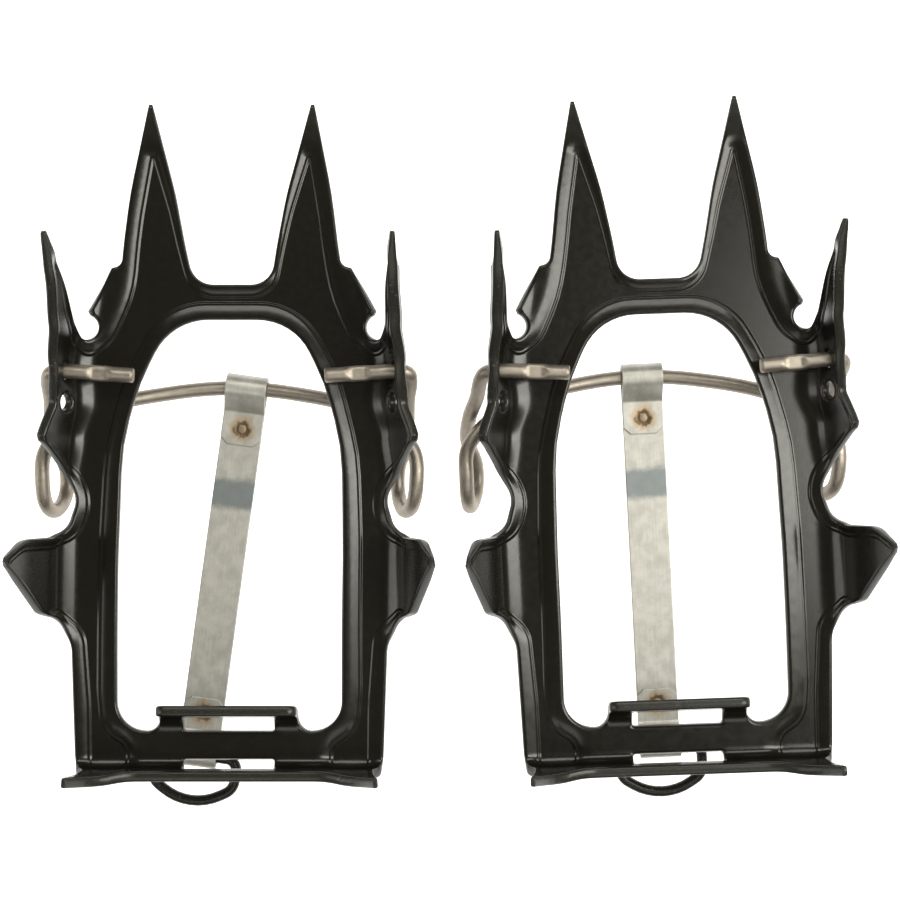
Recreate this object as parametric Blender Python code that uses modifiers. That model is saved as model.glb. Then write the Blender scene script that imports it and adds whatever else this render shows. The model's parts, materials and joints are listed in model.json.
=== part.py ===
"""A pair of crampon toe sections, lying boot side down with their points up.

Each crampon is a bent steel frame, a wire toe bail that turns in the frame's side flanges, a folded
band that hangs on the bail's arc, and a strap ring in the band's lower fold. Run it with
blender --background --python part.py.

A crampon's own frame has X across it, Y toward the front points and Z up out of the plate's middle
plane. Its origin is halfway between the bail's two pins, at the plate. Lengths are in millimetres here
and become metres in the mesh.
"""

import math

import bmesh
import bpy
from mathutils import Matrix, Vector

MM = 0.001

# Sheet and wire sizes
SHEET = 2.8
BAIL_WIRE = 4.0
RING_WIRE = 3.0
BAND_SHEET = 0.8
BAND_WIDTH = 11.4

# Plate
CROTCH_Y = 23.5
FRONT_TIP_Y = 72.0
OPENING_FRONT_Y = 14.0
OPENING_REAR_Y = -96.9
OPENING_HALF = 30.3

# Side flanges, at places along the frame.
# Columns: y, the fold line's distance from the middle, the fold's angle in degrees, its radius.
SIDE_FOLDS = (
    (-77.0, 42.0, 30.0, 8.0),
    (-66.0, 40.0, 74.0, 8.0),
    (-45.0, 40.0, 74.0, 8.0),
    (-30.0, 40.0, 56.0, 6.0),
    (-18.0, 38.5, 60.0, 6.0),
    (-8.0, 35.3, 62.0, 8.0),
    (2.0, 36.0, 80.0, 8.0),
    (12.0, 34.6, 83.0, 8.0),
    (24.0, 33.1, 82.0, 8.0),
    (36.0, 33.0, 82.0, 8.0),
)
# Sheet inside this x or behind this y is not part of a side flange
SIDE_REGION_X = 31.0
SIDE_REGION_Y = -77.0

# How far the frame bows toward the other crampon: a left and a right one are mirror images.
# Columns: y, shift.
BOW = (
    (-75.0, -0.6),
    (-20.0, 0.0),
    (20.0, 0.2),
    (36.0, -0.2),
    (72.0, 0.0),
)

# Crossbar: a channel whose front and rear walls have a slot for the link bar. The front wall's fold and
# its relief cuts reach out to FRONT_WALL_REACH.
FRONT_FOLD_Y = -97.1
FRONT_FOLD_RADIUS = 6.0
FRONT_FOLD_ANGLE = math.radians(80.0)
FRONT_WALL = 14.5
FRONT_WALL_HALF = 18.7
FRONT_WALL_REACH = 24.7
REAR_FOLD_Y = -103.6
REAR_FOLD_RADIUS = 4.0
REAR_FOLD_ANGLE = math.radians(90.0)
REAR_WALL = 13.2
SLOT_HALF = 12.2
FRONT_SLOT_START = 0.2
REAR_SLOT_START = 1.0
SLOT_LENGTH = 6.5
CORNER_TOOTH = 27.0
CORNER_LEAN = 0.06
CORNER_BULGE = 0.6
CORNER_BULGE_X = 34.0
CORNER_BULGE_HALF = 9.0

# Bail: the pins' height above the plate, how far in they reach and how far their ends point back, the
# pin holes, which come in pairs so that the bail can sit in the front or the rear one, the arc and the coils.
PIN_Z = 6.5
PIN_INNER_X = 25.8
PIN_TOE_IN = 1.2
PIN_BEND = 2.7
BAIL_STEP = 1.6
PIN_HOLE = 4.8
PIN_HOLE_DEPTH = 14.0
PIN_PITCH = 8.3
ARC_Y = -3.8
ARC_Z = -20.5
ARC_RISE = 7.0
COIL_RADIUS = 8.1
COIL_CENTRE = (48.7, -29.9, -14.0)
COIL_TILT = math.radians(-73.0)

# Band and ring: a wire's play in the band's fold, the distance between the two wires, and the flaps,
# which close down onto the strip at FLAP_PINCH and end at FLAP_END
FOLD_PLAY = 0.9
BAND_LENGTH = 103.6
FLAP_END = 16.0
FLAP_PINCH = 7.0
FLAP_RAMP = 2.5
FLAP_CHAMFER = 2.1
FLAP_GAP = 0.3
RING_WIDTH = 23.0
RING_LENGTH = 13.3

# How each crampon lies. Angles are in degrees.
CRAMPONS = {
    "left": {
        "place": (-58.9, 21.1),  # the middle between its pins
        "turn": 0.0,
        "hand": 1.0,  # which way it bows
        "sway": 2.1,  # how far its sprung bail lies over toward -X
        "swing": 0.0,  # how far its bail has swung forward
        "offset": 2.0,  # its band's distance from the middle
        "tilt": -7.8,  # its band's turn
    },
    "right": {
        "place": (57.3, 22.8),
        "turn": 2.0,
        "hand": -1.0,
        "sway": 4.4,
        "swing": 3.5,
        "offset": -3.7,
        "tilt": 0.9,
    },
}


def clear_scene():
    """Removes every object that the file opened with."""
    for obj in list(bpy.data.objects):
        bpy.data.objects.remove(obj)


def new_collection(name):
    """Makes a collection in the scene."""
    made = bpy.data.collections.new(name)
    bpy.context.scene.collection.children.link(made)
    return made


def new_material(name, colour, roughness, metallic):
    """Makes a Principled material."""
    material = bpy.data.materials.new(name)
    material.use_nodes = True
    shader = material.node_tree.nodes["Principled BSDF"]
    shader.inputs["Base Color"].default_value = (*colour, 1.0)
    shader.inputs["Roughness"].default_value = roughness
    shader.inputs["Metallic"].default_value = metallic
    return material


def arc(centre, radius, start, end, steps):
    """Corners on a circle from one angle in degrees to another."""
    angles = [math.radians(start + (end - start) * i / steps) for i in range(steps + 1)]
    return [(centre[0] + radius * math.cos(a), centre[1] + radius * math.sin(a), 0.0) for a in angles]


def rounded(corners):
    """Turns corners (x, y, radius) into points, with an arc at each corner that has a radius."""
    points = []
    for i, (x, y, radius) in enumerate(corners):
        here = Vector((x, y))
        if radius == 0.0:
            points.append(here)
            continue
        back = (Vector(corners[i - 1][:2]) - here).normalized()
        ahead = (Vector(corners[(i + 1) % len(corners)][:2]) - here).normalized()
        half = back.angle(ahead) / 2
        middle = here + (back + ahead).normalized() * (radius / math.sin(half))
        first = here + back * (radius / math.tan(half)) - middle
        turn = first.angle_signed(here + ahead * (radius / math.tan(half)) - middle)
        steps = max(2, math.ceil(abs(turn) / math.radians(15.0)))
        points += [middle + Matrix.Rotation(-turn * k / steps, 2) @ first for k in range(steps + 1)]
    return points


def plate_front_edge():
    """From the crotch between the front points, round one front point and its shoulder, to the notch."""
    point = [
        (0.0, CROTCH_Y, 0.0),
        (10.4, CROTCH_Y, 6.5),
        (15.0, 48.0, 90.0),
        (21.4, FRONT_TIP_Y, 0.0),
        (22.3, FRONT_TIP_Y, 0.0),
        (27.2, 48.0, 120.0),
        (29.6, 28.6, 2.5),
        (32.3, 28.0, 0.5),
        (38.7, 16.2, 0.0),
    ]
    return point + arc((39.5, 12.0), 3.4, 112.0, 308.0, 10)


def side_teeth_edge():
    """Down the outer edge: the second point, the small third tooth and the big fourth tooth, laid flat."""
    return [
        (69.0, 34.9, 0.0),
        (69.9, 34.2, 0.0),
        (51.0, -8.5, 3.0),
        (54.9, -17.2, 0.0),
        (54.5, -18.6, 0.0),
        (46.0, -26.0, 20.0),
        (41.4, -34.0, 7.0),
        (44.0, -42.6, 5.0),
        (49.4, -44.5, 6.0),
        (65.0, -44.4, 12.0),
        (74.4, -48.7, 0.0),
        (74.2, -49.7, 0.0),
        (54.0, -64.6, 6.0),
        (46.0, -66.6, 6.0),
        (42.6, -74.0, 8.0),
    ]


def rear_wall_edge():
    """Round the rear corner tooth and along the rear wall to the middle, laid flat."""
    fold = REAR_FOLD_Y
    return [
        (41.6, fold, 0.0),
        (41.0, fold - 5.0, 2.0),
        (38.9, fold - 8.5, 2.0),
        (40.9, fold - CORNER_TOOTH, 0.0),
        (39.7, fold - CORNER_TOOTH, 0.0),
        (34.0, fold - 17.5, 20.0),
        (25.0, fold - REAR_WALL, 12.0),
        (0.0, fold - REAR_WALL, 0.0),
    ]


def slot_edge(first, last):
    """One half of a link bar slot, from the middle plane out and back."""
    return [
        (0.0, first, 0.0),
        (SLOT_HALF, first, 0.8),
        (SLOT_HALF, last, 0.8),
        (0.0, last, 0.0),
    ]


def opening_edge():
    """Round the front wall and up the inside of the rail to the front of the toe opening."""
    wall_end = FRONT_FOLD_Y + FRONT_WALL
    return [
        (0.0, wall_end, 0.0),
        (FRONT_WALL_HALF, wall_end, 2.5),
        (FRONT_WALL_HALF, OPENING_REAR_Y, 3.5),
        (OPENING_HALF, OPENING_REAR_Y, 8.0),
        (OPENING_HALF, -50.0, 200.0),
        (29.6, -20.0, 60.0),
        (25.0, -3.0, 60.0),
        (16.4, OPENING_FRONT_Y, 16.0),
        (0.0, OPENING_FRONT_Y, 0.0),
    ]


def blank_outline():
    """The right half of the frame's sheet before it is bent, open at the middle plane."""
    rear_slot = REAR_FOLD_Y - REAR_SLOT_START
    front_slot = FRONT_FOLD_Y + FRONT_SLOT_START
    corners = plate_front_edge() + side_teeth_edge() + rear_wall_edge()
    corners += slot_edge(rear_slot - SLOT_LENGTH, rear_slot)
    corners += slot_edge(front_slot, front_slot + SLOT_LENGTH)
    corners += opening_edge()
    return rounded(corners)


def eased(table, y):
    """The values of a table at y, eased between its rows."""
    y = min(max(y, table[0][0]), table[-1][0])
    for near, far in zip(table, table[1:]):
        if y <= far[0]:
            break
    share = (y - near[0]) / (far[0] - near[0])
    share = share * share * (3.0 - 2.0 * share)
    return [a + (b - a) * share for a, b in zip(near[1:], far[1:])]


def side_fold(y):
    """The side flange's fold line, angle and radius at y."""
    line, angle, radius = eased(SIDE_FOLDS, y)
    return line, math.radians(angle), radius


def fold_over(length, angle, radius):
    """How far along and up a point lies that is this far past a fold line."""
    if length < radius * angle:
        turned = length / radius
        return radius * math.sin(turned), radius * (1.0 - math.cos(turned))
    rest = length - radius * angle
    along = radius * math.sin(angle) + rest * math.cos(angle)
    up = radius * (1.0 - math.cos(angle)) + rest * math.sin(angle)
    return along, up


def bend(x, y):
    """Where a point of the flat sheet's right half goes when the walls and flanges are bent up."""
    if y < REAR_FOLD_Y:
        along, up = fold_over(REAR_FOLD_Y - y, REAR_FOLD_ANGLE, REAR_FOLD_RADIUS)
        across = min(1.0, abs(x - CORNER_BULGE_X) / CORNER_BULGE_HALF)
        bulge = CORNER_BULGE * (1.0 + math.cos(math.pi * across)) / 2 * min(1.0, up / REAR_WALL)
        lean = CORNER_LEAN * max(0.0, up - REAR_WALL)
        return Vector((x, REAR_FOLD_Y - along - bulge + lean, up))
    if FRONT_FOLD_Y < y < SIDE_REGION_Y and x < FRONT_WALL_REACH:
        along, up = fold_over(y - FRONT_FOLD_Y, FRONT_FOLD_ANGLE, FRONT_FOLD_RADIUS)
        return Vector((x, FRONT_FOLD_Y + along, up))
    line, angle, radius = side_fold(y)
    if x > line:
        along, up = fold_over(x - line, angle, radius)
        return Vector((line + along, y, up))
    return Vector((x, y, 0.0))


def slice_faces(bm, axis, positions, keep):
    """Cuts the faces that pass keep at each position along an axis."""
    normal = Vector((1, 0, 0)) if axis == 0 else Vector((0, 1, 0))
    for position in positions:
        faces = [f for f in bm.faces if all(keep(v.co) for v in f.verts)]
        edges = {e for f in faces for e in f.edges}
        verts = {v for f in faces for v in f.verts}
        bmesh.ops.bisect_plane(
            bm, geom=[*verts, *edges, *faces], plane_co=normal * position, plane_no=normal, dist=1e-5
        )


def spread(first, last, count):
    """Evenly spaced positions from first to last."""
    return [first + (last - first) * i / count for i in range(count + 1)]


def slice_for_bending(bm):
    """Cuts the flat sheet into strips where it will bend."""
    slack = 1e-4

    def anywhere(co):
        return True

    def side(co):
        return co.x > SIDE_REGION_X - slack and co.y > SIDE_REGION_Y - slack

    def ahead(co):
        return co.y > SIDE_REGION_Y - slack

    def rear(co):
        return co.y < REAR_FOLD_Y + slack

    def crossbar(co):
        return co.y < SIDE_REGION_Y + slack

    def front_wall(co):
        return FRONT_FOLD_Y - slack < co.y < SIDE_REGION_Y and co.x < FRONT_WALL_REACH

    slice_faces(bm, 1, [SIDE_REGION_Y, REAR_FOLD_Y], anywhere)
    slice_faces(bm, 0, [SIDE_REGION_X], ahead)
    slice_faces(bm, 0, spread(32.5, 51.0, 10) + [56.0, 62.0, 68.0], side)
    slice_faces(bm, 1, spread(-74.0, 32.0, 26), side)
    slice_faces(bm, 1, spread(REAR_FOLD_Y - 6.4, REAR_FOLD_Y - 1.6, 3), rear)
    slice_faces(bm, 1, spread(REAR_FOLD_Y - 24.2, REAR_FOLD_Y - 14.2, 2), rear)
    slice_faces(bm, 0, spread(25.0, 37.0, 4), rear)
    slice_faces(bm, 1, [FRONT_FOLD_Y], crossbar)
    slice_faces(bm, 1, spread(FRONT_FOLD_Y + 1.7, FRONT_FOLD_Y + 8.5, 4), front_wall)


def frame_mesh(hand):
    """The frame's middle surface: half the flat sheet is cut into strips, bent, mirrored and bowed."""
    bm = bmesh.new()
    corners = [bm.verts.new((p[0], p[1], 0.0)) for p in blank_outline()]
    bm.faces.new(corners)
    bmesh.ops.recalc_face_normals(bm, faces=bm.faces)
    slice_for_bending(bm)
    for vert in bm.verts:
        vert.co = bend(vert.co.x, vert.co.y)
    bmesh.ops.mirror(bm, geom=[*bm.verts, *bm.edges, *bm.faces], axis="X", merge_dist=1e-4)
    for vert in bm.verts:
        vert.co.x += hand * eased(BOW, vert.co.y)[0]
        vert.co *= MM
    bmesh.ops.triangulate(bm, faces=bm.faces)
    bmesh.ops.recalc_face_normals(bm, faces=bm.faces)
    mesh = bpy.data.meshes.new("frame_sheet")
    bm.to_mesh(mesh)
    bm.free()
    return mesh


def flange_x(y):
    """How far from the middle the side flange stands at the pins' height."""
    line, angle, radius = side_fold(y)
    past_bend = (PIN_Z - radius * (1.0 - math.cos(angle))) / math.sin(angle)
    return line + radius * math.sin(angle) + past_bend * math.cos(angle)


def add_cutter(name, parent, sign, y, lean, collection):
    """A cylinder through a side flange that cuts one pin hole. lean is its angle from upright."""
    bm = bmesh.new()
    turn = Matrix.Rotation(-sign * lean, 4, "Y")
    bmesh.ops.create_cone(
        bm,
        cap_ends=True,
        segments=20,
        radius1=PIN_HOLE / 2 * MM,
        radius2=PIN_HOLE / 2 * MM,
        depth=PIN_HOLE_DEPTH * MM,
        matrix=turn,
    )
    mesh = bpy.data.meshes.new(name)
    bm.to_mesh(mesh)
    bm.free()
    cutter = bpy.data.objects.new(name, mesh)
    cutter.parent = parent
    cutter.location = Vector((sign * flange_x(y), y, PIN_Z)) * MM
    cutter.hide_render = True
    cutter.display_type = "WIRE"
    collection.objects.link(cutter)
    return cutter


def add_piece(name, data, parent, location, material, collection):
    """Puts a mesh or curve in the scene, under its crampon's empty."""
    piece = bpy.data.objects.new(name, data)
    piece.parent = parent
    piece.location = Vector(location) * MM
    data.materials.append(material)
    collection.objects.link(piece)
    return piece


def add_frame(side, hand, parent, material, parts, cutters):
    """The bent and slotted frame, with two pin holes in each side flange.

    The bail sits in the front holes, which are in line; the rear ones are square to the flange.
    """
    frame = add_piece(f"{side}_frame", frame_mesh(hand), parent, (0.0, 0.0, 0.0), material, parts)
    thickness = frame.modifiers.new("sheet", "SOLIDIFY")
    thickness.thickness = SHEET * MM
    thickness.offset = 0.0
    thickness.use_even_offset = True
    for flange, sign in (("minus", -1), ("plus", 1)):
        for place, y, lean in (("front", 0.0, math.pi / 2), ("rear", -PIN_PITCH, side_fold(-PIN_PITCH)[1])):
            name = f"{side}_{flange}_{place}_hole"
            hole = frame.modifiers.new(name, "BOOLEAN")
            hole.operation = "DIFFERENCE"
            hole.solver = "EXACT"
            hole.object = add_cutter(name, parent, sign, y, lean, cutters)
    return frame


def coil_point(angle):
    """A point on the right eye coil's circle; 0 is its deep inner side and the angle runs rearward."""
    across = COIL_RADIUS * math.cos(angle)
    centre = Vector(COIL_CENTRE)
    sideways = Vector((-math.cos(COIL_TILT), 0.0, math.sin(COIL_TILT)))
    return centre + sideways * across + Vector((0.0, -COIL_RADIUS * math.sin(angle), 0.0))


def corner_arc(before, corner, after, radius, steps):
    """Points on an arc that rounds off a corner between two straight stretches of wire."""
    here = Vector(corner)
    back = (Vector(before) - here).normalized()
    ahead = (Vector(after) - here).normalized()
    half = back.angle(ahead) / 2
    middle = here + (back + ahead).normalized() * (radius / math.sin(half))
    first = here + back * (radius / math.tan(half)) - middle
    axis = back.cross(ahead)
    turn = 2 * half - math.pi
    return [tuple(middle + Matrix.Rotation(turn * k / steps, 3, axis) @ first) for k in range(steps + 1)]


def bail_side():
    """Guide points of one side of the bail, from the pin's inner end to the arc, before it is smoothed."""
    pin = [(PIN_INNER_X, -PIN_TOE_IN, PIN_Z), (36.0, -PIN_TOE_IN / 2, PIN_Z)]
    leg = [(48.4, -7.2, -2.2), (48.9, -13.2, -10.0), (48.6, -20.5, -18.0)]
    pin += corner_arc(pin[-1], (48.4, 0.0, PIN_Z), leg[0], PIN_BEND, 4)
    coil = [tuple(coil_point(math.radians(a))) for a in range(-24, 185, 52)]
    arm = [(50.6, -22.2, -6.6), (44.2, -14.4, -8.4), (35.0, -9.4, -13.6), (19.0, -5.6, -18.8)]
    return pin + leg + coil + arm


def tangent(guides, i):
    """The direction of a smooth curve at a guide point, from its two neighbours' directions."""
    last = len(guides) - 1
    if i == 0 or i == last:
        return (guides[min(i + 1, last)] - guides[max(i - 1, 0)]).normalized()
    back = guides[i] - guides[i - 1]
    ahead = guides[i + 1] - guides[i]
    return (back / back.length_squared + ahead / ahead.length_squared).normalized()


def smooth_path(guides, step):
    """A smooth curve through the guide points, with a point about every step along it."""
    points = []
    for i, (near, far) in enumerate(zip(guides, guides[1:])):
        reach = (far - near).length
        leave = tangent(guides, i) * reach
        arrive = tangent(guides, i + 1) * reach
        count = max(1, round(reach / step))
        for k in range(count):
            t = k / count
            value = near * (2 * t**3 - 3 * t**2 + 1) + leave * (t**3 - 2 * t**2 + t)
            value += far * (3 * t**2 - 2 * t**3) + arrive * (t**3 - t**2)
            points.append(value)
    points.append(guides[-1])
    return points


def swayed(point, sway, swing):
    """Moves the coils and the arc toward -X, as the sprung wire lies, and swings the bail about its pins."""
    share = min(1.0, max(0.0, (PIN_Z - point[2]) / (PIN_Z - COIL_CENTRE[2])))
    pins = Vector((0.0, 0.0, PIN_Z))
    arm = Vector((point[0] - sway * share, point[1], point[2])) - pins
    return pins + Matrix.Rotation(math.radians(swing), 3, "X") @ arm


def bail_path(sway, swing):
    """The bail's centre line from one pin's inner end to the other's."""
    right = bail_side()
    left = [(-x, y, z) for x, y, z in reversed(right)]
    guides = right + [(0.0, ARC_Y, ARC_Z)] + left
    return smooth_path([swayed(guide, sway, swing) for guide in guides], BAIL_STEP)


def wire_curve(name, points, diameter, closed):
    """A round wire along a line of points."""
    curve = bpy.data.curves.new(name, "CURVE")
    curve.dimensions = "3D"
    curve.bevel_depth = diameter / 2 * MM
    curve.bevel_resolution = 2
    curve.use_fill_caps = not closed
    spline = curve.splines.new("POLY")
    spline.points.add(len(points) - 1)
    for spot, point in zip(spline.points, points):
        spot.co = (*(point * MM), 1.0)
    spline.use_cyclic_u = closed
    return curve


def add_bail(side, path, parent, material, parts):
    """The wire toe bail, with its origin on the pins' axis."""
    pins = Vector((0.0, 0.0, PIN_Z))
    points = [point - pins for point in path]
    curve = wire_curve(f"{side}_toe_bail", points, BAIL_WIRE, False)
    return add_piece(f"{side}_toe_bail", curve, parent, pins, material, parts)


def arc_point(path, x):
    """Where the bail's arc crosses a distance x from the crampon's middle."""
    for near, far in zip(path, path[1:]):
        if near.z < ARC_Z + ARC_RISE and near.x >= x >= far.x:
            return near.lerp(far, (near.x - x) / (near.x - far.x))
    raise ValueError(f"the arc does not reach x = {x}")


def fold_profile(wire, direction, centre):
    """The band's middle line round one wire: main strip, round the wire, and back along the flap.

    direction is +1 where the strip runs toward +Y past the wire and -1 where it runs toward -Y. The strip
    passes below the wire, and the flap comes back above it and closes down onto the strip.
    """
    radius = wire / 2 + FOLD_PLAY + BAND_SHEET / 2
    turns = [math.radians(-90.0 + 11.25 * k) for k in range(21)]
    around = [(direction * radius * math.cos(a), radius * math.sin(a)) for a in turns]
    flap_z = -radius + BAND_SHEET + FLAP_GAP
    flap = [
        (-direction * (FLAP_PINCH - FLAP_RAMP), flap_z + FLAP_RAMP / 2),
        (-direction * FLAP_PINCH, flap_z),
        (-direction * (FLAP_END - FLAP_CHAMFER), flap_z),
        (-direction * FLAP_END, flap_z),
    ]
    return [(centre[0] + y, centre[1] + z) for y, z in around + flap]


def band_profile():
    """The band's middle line in its own YZ plane, from the upper flap's end to the lower flap's end."""
    strip_z = -(BAIL_WIRE / 2 + FOLD_PLAY + BAND_SHEET / 2)
    ring_z = strip_z + RING_WIRE / 2 + FOLD_PLAY + BAND_SHEET / 2
    upper = fold_profile(BAIL_WIRE, 1.0, (0.0, 0.0))
    lower = fold_profile(RING_WIRE, -1.0, (-BAND_LENGTH, ring_z))
    return list(reversed(upper)) + lower, ring_z


def band_mesh(name):
    """The band's middle surface: its profile drawn across its width, with the flaps' corners cut off."""
    profile, _ = band_profile()
    last = len(profile) - 1
    bm = bmesh.new()
    rows = []
    for i, (y, z) in enumerate(profile):
        half = BAND_WIDTH / 2 - (FLAP_CHAMFER if i in (0, last) else 0.0)
        rows.append([bm.verts.new(Vector((x, y, z)) * MM) for x in (-half, half)])
    for near, far in zip(rows, rows[1:]):
        bm.faces.new((near[0], near[1], far[1], far[0]))
    mesh = bpy.data.meshes.new(name)
    bm.to_mesh(mesh)
    bm.free()
    return mesh


def add_band(side, place, tilt, parent, material, parts):
    """The instep band, with its origin on the bail's wire, where it turns."""
    name = f"{side}_instep_band"
    band = add_piece(name, band_mesh(name), parent, place, material, parts)
    band.rotation_euler.z = math.radians(tilt)
    thickness = band.modifiers.new("sheet", "SOLIDIFY")
    thickness.thickness = BAND_SHEET * MM
    thickness.offset = 0.0
    thickness.use_even_offset = True
    return band


def ring_outline():
    """The strap ring's centre line: a straight bar and a round bow behind it."""
    half = RING_WIDTH / 2
    corners = [
        (-half, 0.0, 3.0),
        (half, 0.0, 3.0),
        (half, -RING_LENGTH * 0.62, 4.5),
        (0.0, -RING_LENGTH * 1.16, 15.0),
        (-half, -RING_LENGTH * 0.62, 4.5),
    ]
    return [Vector((p[0], p[1], 0.0)) for p in rounded(corners)]


def add_ring(side, band, material, parts):
    """The strap ring, with its origin on its straight bar in the band's lower fold."""
    _, ring_z = band_profile()
    curve = wire_curve(f"{side}_strap_ring", ring_outline(), RING_WIRE, True)
    return add_piece(f"{side}_strap_ring", curve, band, (0.0, -BAND_LENGTH, ring_z), material, parts)


def centre_on_origin(empties, pieces):
    """Moves both crampons so that the pair stands on Z = 0 with its box centred on the origin."""
    graph = bpy.context.evaluated_depsgraph_get()
    spots = []
    for obj in pieces:
        shape = obj.evaluated_get(graph)
        mesh = shape.to_mesh()
        spots += [obj.matrix_world @ vert.co for vert in mesh.vertices]
        shape.to_mesh_clear()
    low = Vector(min(spot[i] for spot in spots) for i in range(3))
    high = Vector(max(spot[i] for spot in spots) for i in range(3))
    shift = Vector(((low.x + high.x) / 2, (low.y + high.y) / 2, low.z))
    for empty in empties:
        empty.location -= shift


def main():
    """Builds the pair."""
    clear_scene()
    parts = new_collection("crampons")
    cutters = new_collection("cutters")
    paint = new_material("black_paint", (0.012, 0.012, 0.012), 0.32, 0.0)
    nickel = new_material("satin_nickel", (0.40, 0.36, 0.30), 0.36, 1.0)
    stainless = new_material("brushed_stainless", (0.62, 0.60, 0.56), 0.30, 1.0)
    black_steel = new_material("black_steel", (0.02, 0.02, 0.018), 0.30, 0.2)
    empties = []
    for side, lie in CRAMPONS.items():
        empty = bpy.data.objects.new(f"{side}_crampon", None)
        empty.location = Vector((*lie["place"], 0.0)) * MM
        empty.rotation_euler.z = math.radians(lie["turn"])
        parts.objects.link(empty)
        empties.append(empty)
        path = bail_path(lie["sway"], lie["swing"])
        add_frame(side, lie["hand"], empty, paint, parts, cutters)
        add_bail(side, path, empty, nickel, parts)
        band = add_band(side, arc_point(path, lie["offset"]), lie["tilt"], empty, stainless, parts)
        add_ring(side, band, black_steel, parts)
    bpy.context.view_layer.update()
    centre_on_origin(empties, [obj for obj in parts.objects if obj.type != "EMPTY"])


main()
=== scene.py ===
"""Looks for a pair of crampon toe sections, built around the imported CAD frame.

The joints of the CAD frame place every fine piece here. Sizes are in millimetres in a crampon's own frame,
which has X across it, Y toward the front points and Z up out of the plate, and become metres in the mesh.
"""

import json
import math

import bpy
import numpy as np
from mathutils import Matrix, Vector
from mathutils.geometry import delaunay_2d_cdt


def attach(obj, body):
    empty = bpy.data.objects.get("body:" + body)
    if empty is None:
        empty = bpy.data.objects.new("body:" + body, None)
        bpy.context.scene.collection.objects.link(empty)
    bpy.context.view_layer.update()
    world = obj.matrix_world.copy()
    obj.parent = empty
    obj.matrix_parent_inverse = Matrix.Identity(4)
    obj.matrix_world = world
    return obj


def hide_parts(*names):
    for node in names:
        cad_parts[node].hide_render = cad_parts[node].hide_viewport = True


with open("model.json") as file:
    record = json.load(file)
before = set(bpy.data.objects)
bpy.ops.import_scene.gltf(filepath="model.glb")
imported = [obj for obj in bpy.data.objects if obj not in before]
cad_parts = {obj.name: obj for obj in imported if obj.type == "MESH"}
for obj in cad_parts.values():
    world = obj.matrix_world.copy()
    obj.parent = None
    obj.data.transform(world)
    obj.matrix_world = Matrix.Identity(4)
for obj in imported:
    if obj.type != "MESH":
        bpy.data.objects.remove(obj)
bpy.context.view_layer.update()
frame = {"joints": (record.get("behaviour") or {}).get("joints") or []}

MM = 0.001

# Sheet and wire, as in the CAD part
SHEET = 2.8
BAIL_WIRE = 4.0
RING_WIRE = 3.0
BAND_SHEET = 0.8
BAND_WIDTH = 11.4

# Plate outline
CROTCH_Y = 23.5
FRONT_TIP_Y = 72.0
OPENING_FRONT_Y = 14.0
OPENING_REAR_Y = -96.9
OPENING_HALF = 30.3

# Side flanges, at places along the frame.
# Columns: y, the fold line's distance from the middle, the fold's angle in degrees, its radius.
SIDE_FOLDS = (
    (-77.0, 42.0, 30.0, 8.0),
    (-66.0, 40.0, 74.0, 8.0),
    (-45.0, 40.0, 74.0, 8.0),
    (-30.0, 40.0, 56.0, 6.0),
    (-18.0, 38.5, 60.0, 6.0),
    (-8.0, 35.3, 62.0, 8.0),
    (2.0, 36.0, 80.0, 8.0),
    (12.0, 34.6, 83.0, 8.0),
    (24.0, 33.1, 82.0, 8.0),
    (36.0, 33.0, 82.0, 8.0),
)
SIDE_REGION_Y = -77.0

# How far the frame bows toward the other crampon. Columns: y, shift.
BOW = (
    (-75.0, -0.6),
    (-20.0, 0.0),
    (20.0, 0.2),
    (36.0, -0.2),
    (72.0, 0.0),
)

# Crossbar: its front and rear walls are folded up, and each has a slot for the link bar
FRONT_FOLD_Y = -97.1
FRONT_FOLD_RADIUS = 6.0
FRONT_FOLD_ANGLE = math.radians(80.0)
FRONT_WALL = 14.5
FRONT_WALL_HALF = 18.7
FRONT_WALL_REACH = 24.7
REAR_FOLD_Y = -103.6
REAR_FOLD_RADIUS = 4.0
REAR_FOLD_ANGLE = math.radians(90.0)
REAR_WALL = 13.2

# The slots, and the rear wall's corner teeth, which lean forward above a slight bulge
SLOT_HALF = 12.2
FRONT_SLOT_START = 0.2
REAR_SLOT_START = 1.0
SLOT_LENGTH = 6.5
CORNER_TOOTH = 27.0
CORNER_LEAN = 0.06
CORNER_BULGE = 0.6
CORNER_BULGE_X = 34.0
CORNER_BULGE_HALF = 9.0

# Pressed relief: the border rolls down to a narrow ledge, and a small step leads down to the channel
ROLL_DEPTH = 0.68
ROLL_WIDTH = 3.8
LEDGE = 0.55
STEP_DEPTH = 0.32
STEP_WIDTH = 0.6
EDGE_RADIUS = 0.6

# The teeth's ends in the flat sheet, and how far and how much they are sharpened
TOOTH_ENDS = ((21.9, FRONT_TIP_Y), (69.7, 34.8), (74.5, -49.2))
SHARPENED = 16.0
TIP_THINNING = 0.62

# Mesh spacing of the sheet: along its edges, along the middle plane and between them
EDGE_STEP = 0.8
SEAM_STEP = 0.16
GRID_STEP = 1.1
# Rows of points beside the cut edges and the channel's edge, at these distances
EDGE_ROWS = (0.05, 0.2, 0.5, 1.1)
CHANNEL_ROWS = (-1.5, -0.95, -0.62, -0.46, -0.2, 0.0, 0.15, 0.3, 0.45, 0.6, 0.8, 1.4)
# A row's point is left out if its real distance is under this share of the row's, or off it by this much
EDGE_ROW_SHARE = 0.93
CHANNEL_ROW_ERROR = 0.08
# The least gap between points of the loops, of the edge rows, of the channel rows and of the grid
LOOP_GAP = 0.05
EDGE_ROW_GAP = 0.07
CHANNEL_ROW_GAP = 0.13
GRID_GAP = 0.55
# How far the channel rows stay from the edge rows, and all rows from the middle plane
CHANNEL_ROW_MARGIN = 0.3
SEAM_MARGIN = 0.2
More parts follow.
